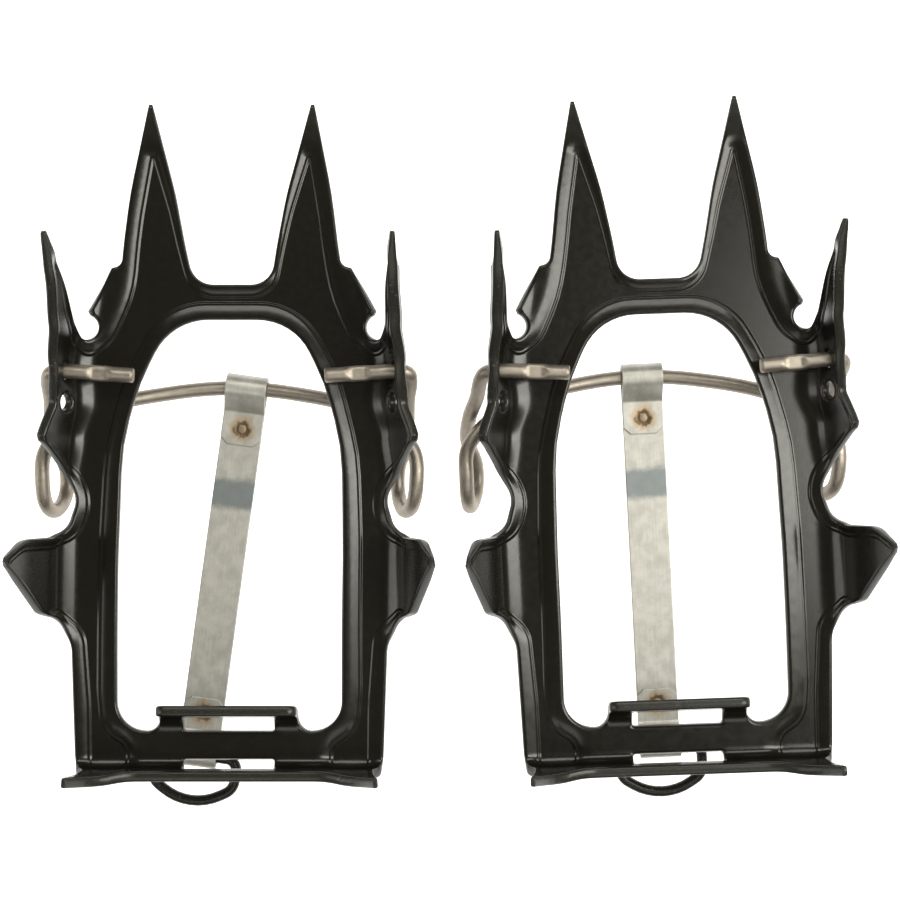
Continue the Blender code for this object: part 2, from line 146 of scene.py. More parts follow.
# How far the grid stays from the channel rows in mm, and from the edge rows and the middle in grid steps
GRID_MARGIN = 0.4
# Numbers nearer to zero than these count as zero: an x, a gap between points, and twice a triangle's area
ON_SEAM = 1e-4
SAME_POINT = 1e-5
NO_AREA = 1e-7
# Bent points this near to the middle plane are set on it, so that the two halves share them
SEAM_SNAP = 1e-3

# Bail: its pins, holes, arc and eye coils
PIN_Z = 6.5
PIN_INNER_X = 25.8
PIN_TOE_IN = 1.2
PIN_BEND = 2.7
PIN_HOLE = 4.8
PIN_PITCH = 8.3
ARC_Y = -3.8
ARC_Z = -20.5
COIL_RADIUS = 8.1
COIL_CENTRE = (48.7, -29.9, -14.0)
COIL_TILT = math.radians(-73.0)
WIRE_CHAMFER = 0.35

# The crimp of a pin: where it is, how far it reaches, and how much flatter and wider it makes the wire
CRIMP_X = 34.6
CRIMP_HALF = 3.0
CRIMP_RUN = 0.7
CRIMP_FLATTENING = 0.38
CRIMP_WIDENING = 0.08
# Wire this far out or this far below the pins is never crimped
CRIMP_REACH_X = 42.0
CRIMP_REACH_Z = 1.5

# How each bail lies in its holes: sideways in mm, and turned about its pins in degrees
SWAY = {"left": 2.1, "right": 4.4}
SWING = {"left": 0.0, "right": 3.5}
# The way toward the other crampon
HAND = {"left": 1.0, "right": -1.0}

# Band: each end turns round its wire, and its flap comes back and lies on the strip from its pinch to its end
FOLD_PLAY = 0.9
BAND_LENGTH = 103.6
FLAP_END = 16.0
FLAP_PINCH = 7.0
FLAP_CHAMFER = 2.1
FLAP_GAP = 0.3
FOLD_TURN = 225.0
STRIP_BOW = 0.9
BAND_BEVEL = 0.16

# Spot welds: where they are, and the ring-shaped groove and wide dish that each one presses in
WELDS = (-11.4, 11.8 - BAND_LENGTH)
WELD_RADIUS = 1.45
WELD_GROOVE = 0.2
WELD_GROOVE_WIDTH = 0.5
WELD_DISH = 0.08
WELD_DISH_WIDTH = 3.2

# Strap ring: its sides are straight for a share of its length, and its end corner lies past its length
RING_WIDTH = 23.0
RING_LENGTH = 13.3
RING_SIDE_SHARE = 0.62
RING_END_SHARE = 1.16

UP = Vector((0.0, 0.0, 1.0))


# ---------------------------------------------------------------- places


def joint_frame(name):
    """The frame of a joint: its X along the joint's axis, its Z up."""
    joint = next(j for j in frame["joints"] if j["name"] == name)
    across = Vector(joint["axis"]).normalized()
    ahead = UP.cross(across)
    turn = Matrix((across, ahead, UP)).transposed().to_4x4()
    return Matrix.Translation(joint["pos_m"]) @ turn


def crampon_frame(side):
    """A crampon's own frame: halfway between its pins, at the plate's middle."""
    return joint_frame(f"{side}_bail_hinge") @ Matrix.Translation((0.0, 0.0, -PIN_Z * MM))


# ---------------------------------------------------------------- smooth shares and curves


def smooth(share):
    """A share from 0 to 1, or an array of them, made to start and stop gently."""
    return share * share * (3.0 - 2.0 * share)


def smooth_share(value):
    """A value held between 0 and 1 that starts and stops gently."""
    return smooth(min(1.0, max(0.0, value)))


def curve_point(near, leave, far, arrive, t):
    """The point at a share t of a curve that leaves one point and arrives at another in given directions."""
    point = near * (2 * t**3 - 3 * t**2 + 1) + leave * (t**3 - 2 * t**2 + t)
    return point + (far * (3 * t**2 - 2 * t**3) + arrive * (t**3 - t**2))


# ---------------------------------------------------------------- flat shapes


def arc(centre, radius, start, end, steps):
    """Corners on a circle from one angle in degrees to another."""
    angles = [math.radians(start + (end - start) * i / steps) for i in range(steps + 1)]
    return [(centre[0] + radius * math.cos(a), centre[1] + radius * math.sin(a), 0.0) for a in angles]


def rounded(corners):
    """Turns corners (x, y, radius) into points, with an arc at each corner that has a radius."""
    points = []
    for i, (x, y, radius) in enumerate(corners):
        here = Vector((x, y))
        if radius == 0.0:
            points.append(here)
            continue
        back = (Vector(corners[i - 1][:2]) - here).normalized()
        ahead = (Vector(corners[(i + 1) % len(corners)][:2]) - here).normalized()
        half = back.angle(ahead) / 2
        middle = here + (back + ahead).normalized() * (radius / math.sin(half))
        first = here + back * (radius / math.tan(half)) - middle
        turn = first.angle_signed(here + ahead * (radius / math.tan(half)) - middle)
        steps = max(2, math.ceil(abs(turn) / math.radians(8.0)))
        points += [middle + Matrix.Rotation(-turn * k / steps, 2) @ first for k in range(steps + 1)]
    return np.array([tuple(p) for p in points])


def plate_front_edge():
    """From the crotch between the front points, round one front point and its shoulder, to the notch."""
    point = [
        (0.0, CROTCH_Y, 0.0),
        (10.4, CROTCH_Y, 6.5),
        (15.0, 48.0, 90.0),
        (21.4, FRONT_TIP_Y, 0.0),
        (22.3, FRONT_TIP_Y, 0.0),
        (27.2, 48.0, 120.0),
        (29.6, 28.6, 2.5),
        (32.3, 28.0, 0.5),
        (38.7, 16.2, 0.0),
    ]
    return point + arc((39.5, 12.0), 3.4, 112.0, 308.0, 20)


def side_teeth_edge():
    """Down the outer edge: the second point, the small third tooth and the big fourth tooth, laid flat."""
    return [
        (69.2, 34.9, 0.4),
        (69.9, 34.0, 0.4),
        (51.0, -8.5, 3.0),
        (54.9, -17.2, 0.7),
        (54.3, -18.8, 0.7),
        (46.0, -26.0, 20.0),
        (41.4, -34.0, 7.0),
        (44.0, -42.6, 5.0),
        (49.4, -44.5, 6.0),
        (65.0, -44.4, 12.0),
        (74.4, -48.7, 0.4),
        (74.2, -49.7, 0.4),
        (54.0, -64.6, 6.0),
        (46.0, -66.6, 6.0),
        (42.6, -74.0, 8.0),
    ]


def rear_wall_edge():
    """Round the rear corner tooth and along the rear wall to the middle, laid flat."""
    fold = REAR_FOLD_Y
    return [
        (41.6, fold, 0.0),
        (41.0, fold - 5.0, 2.0),
        (38.9, fold - 8.5, 2.0),
        (40.9, fold - CORNER_TOOTH, 0.3),
        (39.7, fold - CORNER_TOOTH, 0.3),
        (34.0, fold - 17.5, 20.0),
        (25.0, fold - REAR_WALL, 12.0),
        (0.0, fold - REAR_WALL, 0.0),
    ]


def slot_edge(first, last):
    """One half of a link bar slot, from the middle plane out and back."""
    return [
        (0.0, first, 0.0),
        (SLOT_HALF, first, 0.8),
        (SLOT_HALF, last, 0.8),
        (0.0, last, 0.0),
    ]


def opening_edge():
    """Round the front wall and up the inside of the rail to the front of the toe opening."""
    wall_end = FRONT_FOLD_Y + FRONT_WALL
    return [
        (0.0, wall_end, 0.0),
        (FRONT_WALL_HALF, wall_end, 2.5),
        (FRONT_WALL_HALF, OPENING_REAR_Y, 3.5),
        (OPENING_HALF, OPENING_REAR_Y, 8.0),
        (OPENING_HALF, -50.0, 200.0),
        (29.6, -20.0, 60.0),
        (25.0, -3.0, 60.0),
        (16.4, OPENING_FRONT_Y, 16.0),
        (0.0, OPENING_FRONT_Y, 0.0),
    ]


def blank_outline():
    """The right half of the frame's sheet before it is bent, open at the middle plane."""
    rear_slot = REAR_FOLD_Y - REAR_SLOT_START
    front_slot = FRONT_FOLD_Y + FRONT_SLOT_START
    corners = plate_front_edge() + side_teeth_edge() + rear_wall_edge()
    corners += slot_edge(rear_slot - SLOT_LENGTH, rear_slot)
    corners += slot_edge(front_slot, front_slot + SLOT_LENGTH)
    corners += opening_edge()
    return rounded(corners)


def channel_outline():
    """The sunk channel's edge in the flat sheet's right half. At the third and fourth teeth it runs off."""
    return rounded(
        [
            (0.0, 20.3, 0.0),
            (11.0, 20.3, 8.0),
            (16.2, 43.0, 80.0),
            (21.1, 59.0, 0.4),
            (24.0, 42.0, 90.0),
            (26.6, 21.0, 40.0),
            (33.0, 7.0, 12.0),
            (39.2, 4.2, 4.0),
            (45.5, 8.5, 6.0),
            (65.0, 30.2, 0.8),
            (49.8, -6.0, 10.0),
            (58.0, -17.0, 0.0),
            (48.6, -22.4, 0.0),
            (41.6, -27.0, 12.0),
            (37.4, -34.5, 12.0),
            (41.0, -44.4, 8.0),
            (49.5, -47.2, 6.0),
            (66.0, -47.0, 10.0),
            (76.0, -51.5, 0.0),
            (56.0, -68.0, 0.0),
            (47.2, -63.6, 3.0),
            (39.2, -70.0, 8.0),
            (37.8, -90.0, 60.0),
            (37.6, -107.5, 2.0),
            (27.6, -107.5, 2.0),
            (27.2, -101.0, 5.0),
            (34.4, -96.6, 8.0),
            (35.3, -86.0, 30.0),
            (35.0, -45.0, 200.0),
            (34.0, -22.0, 60.0),
            (28.6, -1.0, 50.0),
            (18.0, 18.4, 18.0),
            (0.0, 18.4, 0.0),
        ]
    )


def pin_hole_loops():
    """The two pin holes of a side flange, laid flat."""
    loops = []
    for y in (0.0, -PIN_PITCH):
        line, angle, radius = side_fold(y)
        past = (PIN_Z - radius * (1.0 - math.cos(angle))) / math.sin(angle)
        centre = (line + radius * angle + past, y)
        loops.append(np.array([p[:2] for p in arc(centre, PIN_HOLE / 2, 0.0, 345.0, 23)]))
    return loops


# ---------------------------------------------------------------- bending


def eased(table, y):
    """The values of a table at y, eased between its rows."""
    y = min(max(y, table[0][0]), table[-1][0])
    for near, far in zip(table, table[1:]):
        if y <= far[0]:
            break
    share = smooth((y - near[0]) / (far[0] - near[0]))
    return [a + (b - a) * share for a, b in zip(near[1:], far[1:])]


def side_fold(y):
    """The side flange's fold line, angle and radius at y."""
    line, angle, radius = eased(SIDE_FOLDS, y)
    return line, math.radians(angle), radius


def fold_over(length, angle, radius):
    """How far along and up a point lies that is this far past a fold line."""
    if length < radius * angle:
        turned = length / radius
        return radius * math.sin(turned), radius * (1.0 - math.cos(turned))
    rest = length - radius * angle
    along = radius * math.sin(angle) + rest * math.cos(angle)
    up = radius * (1.0 - math.cos(angle)) + rest * math.sin(angle)
    return along, up


def bend(x, y):
    """Where a point of the flat sheet's right half goes when the walls and flanges are bent up."""
    if y < REAR_FOLD_Y:
        along, up = fold_over(REAR_FOLD_Y - y, REAR_FOLD_ANGLE, REAR_FOLD_RADIUS)
        across = min(1.0, abs(x - CORNER_BULGE_X) / CORNER_BULGE_HALF)
        bulge = CORNER_BULGE * (1.0 + math.cos(math.pi * across)) / 2 * min(1.0, up / REAR_WALL)
        lean = CORNER_LEAN * max(0.0, up - REAR_WALL)
        return Vector((x, REAR_FOLD_Y - along - bulge + lean, up))
    if FRONT_FOLD_Y < y < SIDE_REGION_Y and x < FRONT_WALL_REACH:
        along, up = fold_over(y - FRONT_FOLD_Y, FRONT_FOLD_ANGLE, FRONT_FOLD_RADIUS)
        return Vector((x, FRONT_FOLD_Y + along, up))
    line, angle, radius = side_fold(y)
    if x > line:
        along, up = fold_over(x - line, angle, radius)
        return Vector((line + along, y, up))
    return Vector((x, y, 0.0))


def bent_normal(x, y):
    """The bent sheet's upward normal at a point of the flat sheet."""
    reach = 0.02
    across = bend(x + reach, y) - bend(x - reach, y)
    ahead = bend(x, y + reach) - bend(x, y - reach)
    return across.cross(ahead).normalized()


# ---------------------------------------------------------------- sheet mesh


def resampled(loop, step):
    """A closed loop with its long segments cut into pieces of about one step."""
    points = []
    for near, far in zip(loop, np.roll(loop, -1, axis=0)):
        on_seam = near[0] == 0.0 and far[0] == 0.0
        count = max(1, round(float(np.linalg.norm(far - near)) / (SEAM_STEP if on_seam else step)))
        points += [near + (far - near) * k / count for k in range(count)]
    kept = [points[0]]
    for point in points[1:]:
        if np.linalg.norm(point - kept[-1]) > LOOP_GAP:
            kept.append(point)
    return np.array(kept)


def segments_of(loop):
    """A loop's segments as an array of starts and an array of ends."""
    return loop, np.roll(loop, -1, axis=0)


def distance_to(points, starts, ends):
    """Each point's distance to the nearest of some segments."""
    nearest = np.full(len(points), np.inf)
    for a, b in zip(starts, ends):
        line = b - a
        share = np.clip(((points - a) @ line) / max(float(line @ line), 1e-12), 0.0, 1.0)
        gap = points - a - share[:, None] * line
        nearest = np.minimum(nearest, np.hypot(gap[:, 0], gap[:, 1]))
    return nearest


def inside(points, loop):
    """Whether each point lies in a closed loop."""
    within = np.zeros(len(points), bool)
    for a, b in zip(*segments_of(loop)):
        if a[1] == b[1]:
            continue
        spans = (a[1] > points[:, 1]) != (b[1] > points[:, 1])
        crossing = a[0] + (points[:, 1] - a[1]) * (b[0] - a[0]) / (b[1] - a[1])
        within ^= spans & (points[:, 0] < crossing)
    return within


def inward_rows(loop, offsets, on_left):
    """Rows of points beside a loop, at each offset from it."""
    ahead = np.roll(loop, -1, axis=0) - np.roll(loop, 1, axis=0)
    ahead /= np.linalg.norm(ahead, axis=1)[:, None]
    side = np.stack([-ahead[:, 1], ahead[:, 0]], axis=1) * (1.0 if on_left else -1.0)
    return np.concatenate([loop + side * offset for offset in offsets])


def winds_left(loop):
    """Whether a loop runs counter-clockwise."""
    ahead = np.roll(loop, -1, axis=0)
    return float(np.sum(loop[:, 0] * ahead[:, 1] - ahead[:, 0] * loop[:, 1])) > 0.0


def hex_grid(low, high, step):
    """Points of a grid of equal triangles."""
    rows = np.arange(low[1], high[1], step * math.sqrt(3.0) / 2)
    columns = np.arange(low[0], high[0], step)
    shift = (np.arange(len(rows)) % 2) * step / 2
    xs = columns[None, :] + shift[:, None]
    ys = np.repeat(rows[:, None], len(columns), axis=1)
    return np.stack([xs.ravel(), ys.ravel()], axis=1)


def thinned(fixed, loose, gap):
    """The loose points that are at least a gap from the fixed points and from each other."""
    taken = {}
    for point in fixed:
        taken.setdefault((round(point[0] / gap), round(point[1] / gap)), []).append(point)
    kept = []
    for point in loose:
        column, row = round(point[0] / gap), round(point[1] / gap)
        near = [p for i in (-1, 0, 1) for j in (-1, 0, 1) for p in taken.get((column + i, row + j), ())]
        if all(math.hypot(p[0] - point[0], p[1] - point[1]) >= gap for p in near):
            taken.setdefault((column, row), []).append(point)
            kept.append(point)
    return np.array(kept)


class FlatSheet:
    """The triangulated right half of the blank, with what each point needs to know about it."""

    def __init__(self):
        outer = resampled(blank_outline(), EDGE_STEP)
        holes = [resampled(loop, EDGE_STEP) for loop in pin_hole_loops()]
        self.loops = [outer, *holes]
        self.channel = resampled(channel_outline(), EDGE_STEP)
        starts = np.concatenate(self.loops)
        ends = np.concatenate([np.roll(loop, -1, axis=0) for loop in self.loops])
        cut = (np.abs(starts[:, 0]) > ON_SEAM) | (np.abs(ends[:, 0]) > ON_SEAM)
        self.cut_edges = (starts[cut], ends[cut])
        self.triangulate(starts)
        self.rim = self.to_edge(self.points)
        beside = self.to_channel(self.points)
        roll = np.clip(1.0 + (beside + LEDGE) / ROLL_WIDTH, 0.0, 1.0)
        step = np.clip(beside / STEP_WIDTH, 0.0, 1.0)
        self.relief = -ROLL_DEPTH * roll**2 - STEP_DEPTH * smooth(step)

    def holds(self, points):
        """Whether each point lies in the sheet."""
        within = inside(points, self.loops[0])
        for hole in self.loops[1:]:
            within &= ~inside(points, hole)
        return within

    def to_edge(self, points):
        """Each point's distance to the nearest cut edge."""
        return distance_to(points, *self.cut_edges)

    def to_channel(self, points):
        """Each point's distance to the channel's edge, positive inside the channel."""
        starts, ends = segments_of(self.channel)
        seam = (np.abs(starts[:, 0]) < ON_SEAM) & (np.abs(ends[:, 0]) < ON_SEAM)
        gap = distance_to(points, starts[~seam], ends[~seam])
        return np.where(inside(points, self.channel), gap, -gap)

    def edge_points(self):
        """Rows of points beside the cut edges, where the sheet is rounded off."""
        rows = []
        offsets = []
        for k, loop in enumerate(self.loops):
            is_outer = k == 0
            rows.append(inward_rows(loop, EDGE_ROWS, winds_left(loop) == is_outer))
            offsets.append(np.repeat(EDGE_ROWS, len(loop)))
        rows = np.concatenate(rows)
        far_enough = self.to_edge(rows) > np.concatenate(offsets) * EDGE_ROW_SHARE
        rows = rows[self.holds(rows) & far_enough]
        return rows[rows[:, 0] > SEAM_MARGIN]

    def channel_points(self):
        """Rows of points beside the channel's edge, where the relief steps down."""
        rows = inward_rows(self.channel, CHANNEL_ROWS, winds_left(self.channel))
        offsets = np.repeat(CHANNEL_ROWS, len(self.channel))
        in_row = np.abs(self.to_channel(rows) - offsets) < CHANNEL_ROW_ERROR
        rows = rows[self.holds(rows) & in_row]
        rows = rows[self.to_edge(rows) > EDGE_ROWS[-1] + CHANNEL_ROW_MARGIN]
        return rows[rows[:, 0] > SEAM_MARGIN]

    def grid_points(self, low, high):
        """Even points for the rest of the sheet."""
        grid = hex_grid(low, high, GRID_STEP)
        grid = grid[self.holds(grid)]
        grid = grid[self.to_edge(grid) > EDGE_ROWS[-1] + GRID_STEP * GRID_MARGIN]
        beside = self.to_channel(grid)
        grid = grid[(beside < CHANNEL_ROWS[0] - GRID_MARGIN) | (beside > CHANNEL_ROWS[-1] + GRID_MARGIN)]
        return grid[grid[:, 0] > GRID_STEP * GRID_MARGIN]

    def triangulate(self, corners):
        """Fills the sheet with points that follow its edges and creases, and joins them with triangles."""
        points = np.concatenate([corners, thinned(corners, self.edge_points(), EDGE_ROW_GAP)])
        points = np.concatenate([points, thinned(points, self.channel_points(), CHANNEL_ROW_GAP)])
        grid = self.grid_points(corners.min(axis=0), corners.max(axis=0))
        points = np.concatenate([points, thinned(points, grid, GRID_GAP)])
        edges = []
        first = 0
        for loop in self.loops:
            count = len(loop)
            edges += [(first + k, first + (k + 1) % count) for k in range(count)]
            first += count
        made = delaunay_2d_cdt([Vector(p) for p in points], edges, [], 0, SAME_POINT)
        self.points = np.array([tuple(v) for v in made[0]])
        faces = np.array([tuple(f) for f in made[2]])
        faces = faces[self.holds(self.points[faces].mean(axis=1))]
        a, b, c = (self.points[faces[:, k]] for k in range(3))
        area = (b[:, 0] - a[:, 0]) * (c[:, 1] - a[:, 1]) - (c[:, 0] - a[:, 0]) * (b[:, 1] - a[:, 1])
        solid = np.abs(area) > NO_AREA
        faces = faces[solid]
        turned = area[solid] < 0
        faces[turned] = faces[turned][:, ::-1]
        self.faces = faces


def thinning(x, y):
    """How much of the sheet's thickness is lost toward the sharpened ends of the teeth."""
    away = min(math.hypot(x - end[0], y - end[1]) for end in TOOTH_ENDS)
    share = max(0.0, 1.0 - away / SHARPENED)
    return TIP_THINNING * share * share


def bent_sheet(flat):
    """The bent and pressed half frame: the places of its upper and its lower points."""
    rounding = np.clip(EDGE_RADIUS - flat.rim, 0.0, None)
    drop = EDGE_RADIUS - np.sqrt(np.clip(EDGE_RADIUS**2 - rounding**2, 0.0, None))
    upper = []
    lower = []
    for (x, y), lift, less in zip(flat.points, flat.relief, drop):
        less = max(less, SHEET / 2 * thinning(x, y))
        middle = bend(x, y)
        normal = bent_normal(x, y)
        if x < ON_SEAM:
            normal.x = 0.0
            normal.normalize()
        upper.append(middle + normal * (lift + SHEET / 2 - less))
        lower.append(middle + normal * (lift - SHEET / 2 + less))
    return upper, lower


def rim_edges(flat):
    """The directed edges of the triangles that lie on a cut edge."""
    seen = {}
    for face in flat.faces:
        for a, b in zip(face, np.roll(face, -1)):
            seen[(int(a), int(b))] = True
    open_edges = [(a, b) for a, b in seen if (b, a) not in seen]
    x = flat.points[:, 0]
    return [(a, b) for a, b in open_edges if x[a] > ON_SEAM or x[b] > ON_SEAM]


def frame_piece(side, flat, material):
    """One crampon's frame as a closed, smooth mesh."""
    upper, lower = bent_sheet(flat)
    count = len(upper)
    half = [tuple(int(i) for i in f) for f in flat.faces]
    half += [(a + count, c + count, b + count) for a, b, c in half]
    half += [(b, a, a + count, b + count) for a, b in rim_edges(flat)]
    points = upper + lower
    rim = list(flat.rim) * 2
    mirror = []
    for i, point in enumerate(points[:]):
        if point.x < SEAM_SNAP:
            point.x = 0.0
            mirror.append(i)
        else:
            mirror.append(len(points))
            points.append(Vector((-point.x, point.y, point.z)))
            rim.append(rim[i])
    whole = half + [tuple(mirror[i] for i in reversed(f)) for f in half]
    for point in points:
        point.x += HAND[side] * eased(BOW, point.y)[0]
    piece = mesh_piece(f"{side}_frame_sheet", points, whole, crampon_frame(side), material)
    layer = piece.data.attributes.new("rim", "FLOAT", "POINT")
    layer.data.foreach_set("value", np.array(rim, np.float32))
    return piece


# ---------------------------------------------------------------- making pieces


def mesh_piece(name, points, faces, place, material):
    """A smooth mesh object from points in millimetres, which it also keeps as an attribute."""
    mesh = bpy.data.meshes.new(name)
    mesh.from_pydata([Vector(p) * MM for p in points], [], faces)
    mesh.update()
    mesh.polygons.foreach_set("use_smooth", [True] * len(mesh.polygons))
    mesh.materials.append(material)
    piece = bpy.data.objects.new(name, mesh)
    piece.matrix_world = place
    bpy.context.scene.collection.objects.link(piece)
    layer = mesh.attributes.new("place", "FLOAT_VECTOR", "POINT")
    layer.data.foreach_set("vector", np.array([tuple(p) for p in points], np.float32).ravel())
    return piece


# ---------------------------------------------------------------- wires


def corner_arc(before, corner, after, radius, steps):
    """Points on an arc that rounds off a corner between two straight stretches of wire."""
    here = Vector(corner)
    back = (Vector(before) - here).normalized()
    ahead = (Vector(after) - here).normalized()
    half = back.angle(ahead) / 2
    middle = here + (back + ahead).normalized() * (radius / math.sin(half))
    first = here + back * (radius / math.tan(half)) - middle
    axis = back.cross(ahead)
    turn = 2 * half - math.pi
    return [tuple(middle + Matrix.Rotation(turn * k / steps, 3, axis) @ first) for k in range(steps + 1)]


def coil_point(angle):
    """A point on the right eye coil's circle; 0 is its deep inner side and the angle runs rearward."""
    across = COIL_RADIUS * math.cos(angle)
    centre = Vector(COIL_CENTRE)
    sideways = Vector((-math.cos(COIL_TILT), 0.0, math.sin(COIL_TILT)))
    return centre + sideways * across + Vector((0.0, -COIL_RADIUS * math.sin(angle), 0.0))


def bail_side():
    """Guide points of one side of the bail, from the pin's inner end to the arc, before it is smoothed."""
    pin = [(PIN_INNER_X, -PIN_TOE_IN, PIN_Z), (36.0, -PIN_TOE_IN / 2, PIN_Z)]
    leg = [(48.4, -7.2, -2.2), (48.9, -13.2, -10.0), (48.6, -20.5, -18.0)]
    pin += corner_arc(pin[-1], (48.4, 0.0, PIN_Z), leg[0], PIN_BEND, 4)
    coil_angles = (-24.0, 28.0, 80.0, 132.0, 184.0)
    coil = [tuple(coil_point(math.radians(a))) for a in coil_angles]
    arm = [(50.6, -22.2, -6.6), (44.2, -14.4, -8.4), (35.0, -9.4, -13.6), (19.0, -5.6, -18.8)]
    return pin + leg + coil + arm


def tangent(guides, i):
    """The direction of a smooth curve at a guide point, from its two neighbours' directions."""
    last = len(guides) - 1
    if i == 0 or i == last:
        return (guides[min(i + 1, last)] - guides[max(i - 1, 0)]).normalized()
    back = guides[i] - guides[i - 1]
    ahead = guides[i + 1] - guides[i]
    return (back / back.length_squared + ahead / ahead.length_squared).normalized()


def smooth_path(guides, step):
    """A smooth curve through the guide points, with a point about every step along it."""
    points = []
    for i, (near, far) in enumerate(zip(guides, guides[1:])):
        reach = (far - near).length
        leave = tangent(guides, i) * reach
        arrive = tangent(guides, i + 1) * reach
        count = max(1, round(reach / step))
        for k in range(count):
            points.append(curve_point(near, leave, far, arrive, k / count))
    points.append(guides[-1])
    return points


def swayed(point, sway, swing):
    """Moves the coils and the arc toward -X, as the sprung wire lies, and swings the bail about its pins."""
    share = min(1.0, max(0.0, (PIN_Z - point[2]) / (PIN_Z - COIL_CENTRE[2])))
    pins = Vector((0.0, 0.0, PIN_Z))
    arm = Vector((point[0] - sway * share, point[1], point[2])) - pins
    return pins + Matrix.Rotation(math.radians(swing), 3, "X") @ arm


def bail_path(side):
    """The bail's centre line from one pin's inner end to the other's."""
    right = bail_side()
    left = [(-x, y, z) for x, y, z in reversed(right)]
    guides = right + [(0.0, ARC_Y, ARC_Z)] + left
    step = 0.7
    return smooth_path([swayed(guide, SWAY[side], SWING[side]) for guide in guides], step)


def tube(path, radius, sides, closed, squeeze):
    """A round wire's points and faces. squeeze reshapes a point's offset from the wire's middle line."""
    count = len(path)
    points = []
    normal = None
    for i, spot in enumerate(path):
        before = path[i - 1] if i or closed else path[i]
        after = path[(i + 1) % count] if i < count - 1 or closed else path[i]
        ahead = (after - before).normalized()
        if normal is None:
            normal = ahead.orthogonal()
        normal = (normal - ahead * normal.dot(ahead)).normalized()
        other = ahead.cross(normal)
        for k in range(sides):
            angle = 2 * math.pi * k / sides
            offset = (normal * math.cos(angle) + other * math.sin(angle)) * radius
            points.append(spot + squeeze(spot, offset))
    faces = []
    rings = count if closed else count - 1
    for i in range(rings):
        j = (i + 1) % count
        for k in range(sides):
            m = (k + 1) % sides
            faces.append((i * sides + k, i * sides + m, j * sides + m, j * sides + k))
    return points, faces


def middle_of(ring):
    """The middle of some points."""
    return sum(ring, Vector()) / len(ring)


def cap(points, faces, sides, inset):
    """Closes a tube's two ends, each with a small chamfer."""
    total = len(points)
    for start, turn in ((0, 1), (total - sides, -1)):
        ring = points[start : start + sides]
        next_start = start + turn * sides
        middle = middle_of(ring)
        outward = (middle - middle_of(points[next_start : next_start + sides])).normalized()
        first = len(points)
        points += [spot + (middle - spot).normalized() * inset + outward * inset for spot in ring]
        points.append(middle + outward * inset)
        centre = first + sides
        for k in range(sides):
            m = (k + 1) % sides
            quad = (start + k, first + k, first + m, start + m)
            fan = (first + k, centre, first + m)
            faces.append(quad if turn > 0 else tuple(reversed(quad)))
            faces.append(fan if turn > 0 else tuple(reversed(fan)))


def crimp(spot, offset):
    """Flattens the pins between the flange and their ends, which keeps them in their holes."""
    if spot.z < PIN_Z - CRIMP_REACH_Z or abs(spot.x) > CRIMP_REACH_X:
        return offset
    share = smooth_share((CRIMP_HALF - abs(abs(spot.x) - CRIMP_X)) / CRIMP_RUN)
    top = BAIL_WIRE / 2 * (1.0 - CRIMP_FLATTENING * share)
    return Vector((offset.x, offset.y * (1.0 + CRIMP_WIDENING * share), max(min(offset.z, top), -top)))


def unchanged(spot, offset):
    """Leaves a wire round."""
    return offset


def bail_piece(side, material):
    """The wire toe bail."""
    sides = 20
    points, faces = tube(bail_path(side), BAIL_WIRE / 2, sides, False, crimp)
    cap(points, faces, sides, WIRE_CHAMFER)
    return mesh_piece(f"{side}_bail_wire", points, faces, crampon_frame(side), material)


def ring_piece(side, material):
    """The strap ring, straight where it lies in the band's fold and round at its free end."""
    half = RING_WIDTH / 2
    corners = [
        (-half, 0.0, 3.0),
        (half, 0.0, 3.0),
        (half, -RING_LENGTH * RING_SIDE_SHARE, 4.5),
        (0.0, -RING_LENGTH * RING_END_SHARE, 15.0),
        (-half, -RING_LENGTH * RING_SIDE_SHARE, 4.5),
    ]
    step = 0.6
    sides = 18
    path = [Vector((x, y, 0.0)) for x, y in resampled(rounded(corners), step)]
    points, faces = tube(path, RING_WIRE / 2, sides, True, unchanged)
    return mesh_piece(f"{side}_ring_wire", points, faces, joint_frame(f"{side}_ring_hinge"), material)


# ---------------------------------------------------------------- band


def fold_profile(wire, direction, centre):
    """The band's middle line round one wire, up to where the flap lies flat on the strip."""
    radius = wire / 2 + FOLD_PLAY + BAND_SHEET / 2
    steps = 25
    turns = [math.radians(-90.0 + FOLD_TURN * k / steps) for k in range(steps + 1)]
    around = [(direction * radius * math.cos(a), radius * math.sin(a)) for a in turns]
    start = Vector((abs(around[-1][0]), around[-1][1]))
    end = Vector((FLAP_PINCH, -radius + BAND_SHEET + FLAP_GAP))
    leave = Vector((3.5, -3.5))
    arrive = Vector((2.5, 0.0))
    ramp_steps = 11
    ramp = [curve_point(start, leave, end, arrive, k / ramp_steps) for k in range(1, ramp_steps)]
    around += [(-direction * spot.x, spot.y) for spot in ramp]
    return [(centre[0] + y, centre[1] + z) for y, z in around]


def strip_rise(share):
    """How far the strip bows up at a share of its length; it stays flat near the folds."""
    ends = smooth_share(share * 8.0) * smooth_share((1.0 - share) * 8.0)
    return STRIP_BOW * 4.0 * share * (1.0 - share) * ends


